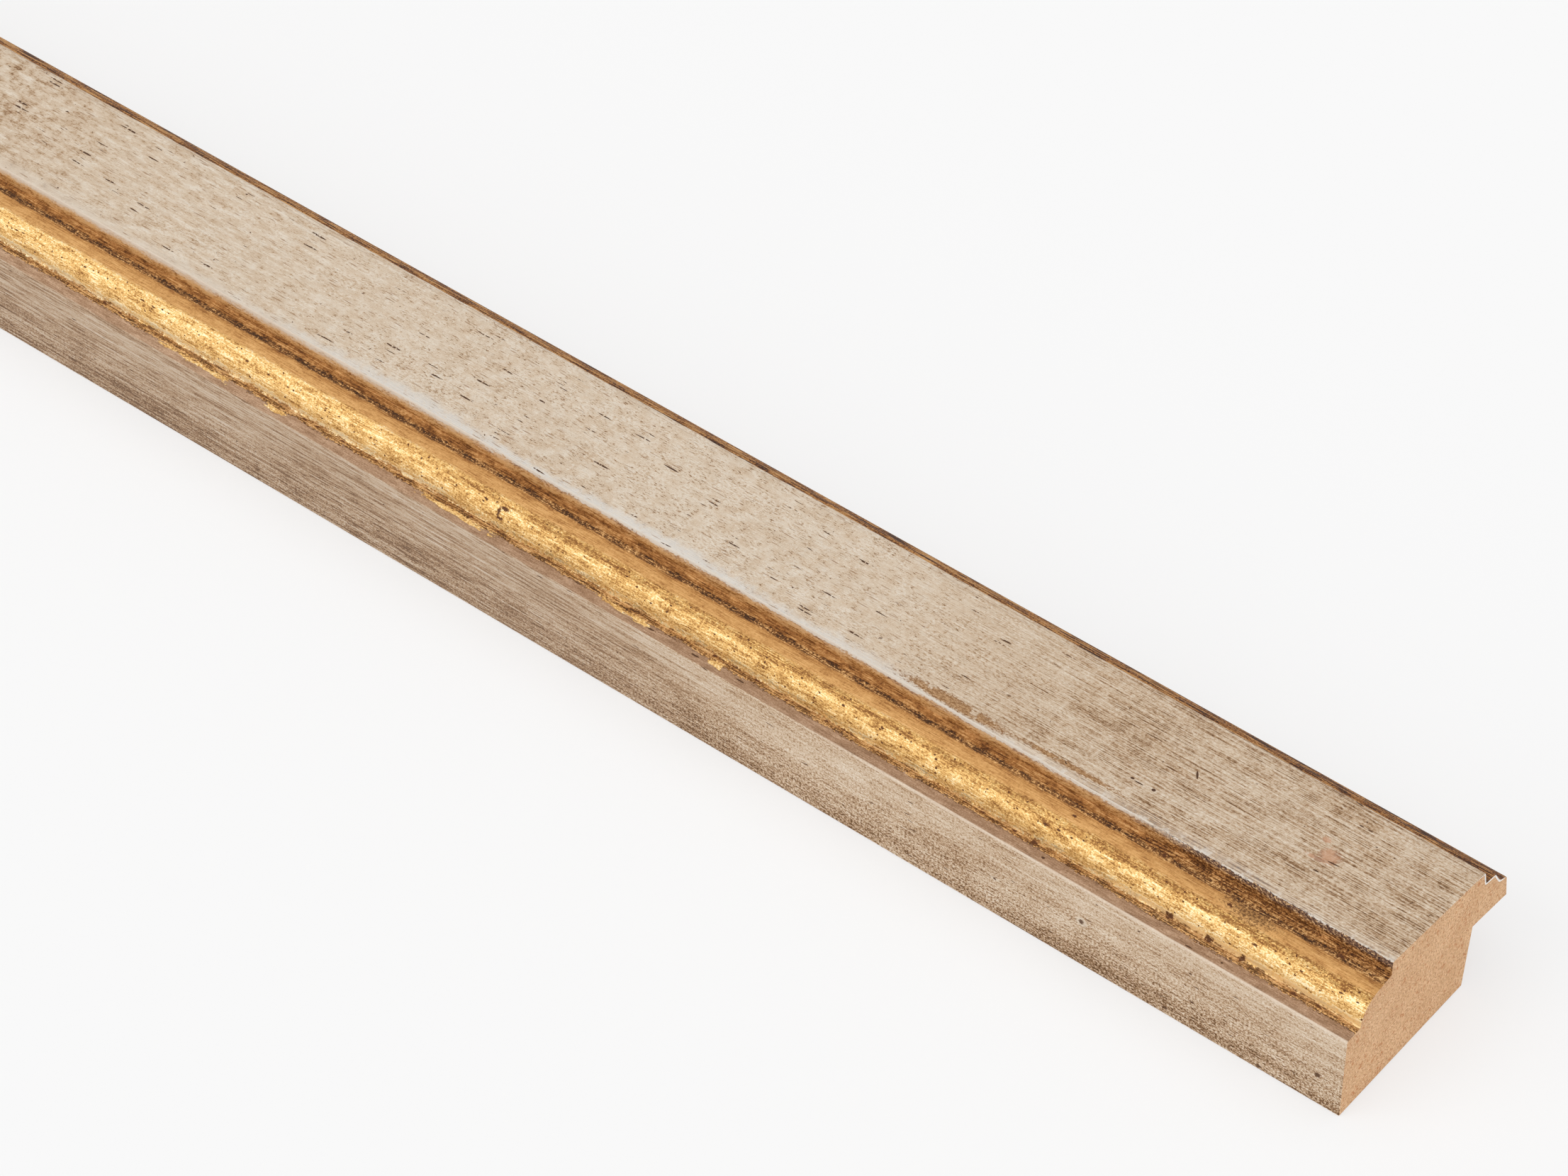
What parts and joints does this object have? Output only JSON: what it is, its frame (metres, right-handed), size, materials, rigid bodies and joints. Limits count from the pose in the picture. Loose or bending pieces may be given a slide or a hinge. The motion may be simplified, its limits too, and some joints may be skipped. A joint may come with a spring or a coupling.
{
  "type": "picture frame moulding",
  "caption": "Length of wooden picture frame moulding with a gilded bead at the outer edge, a gently sloping pale face, a coved lip and a rabbet behind the lip for glass and backing.",
  "frame": {"origin": "centre of the stick's length and width, on the plane of its back", "axes": "+X along the stick, +Y from the frame's outer edge to its sight edge (the lip over the picture), +Z out of the face"},
  "size_m": [1.2192, 0.038, 0.0222],
  "materials": {
    "moulding": "hand-finished hardwood: distressed cream wash over taupe, gold leaf bead, brown lip, raw sawn back and ends"
  },
  "bodies": {
    "root": {"moulding": "moulding"}
  },
  "joints": []
}
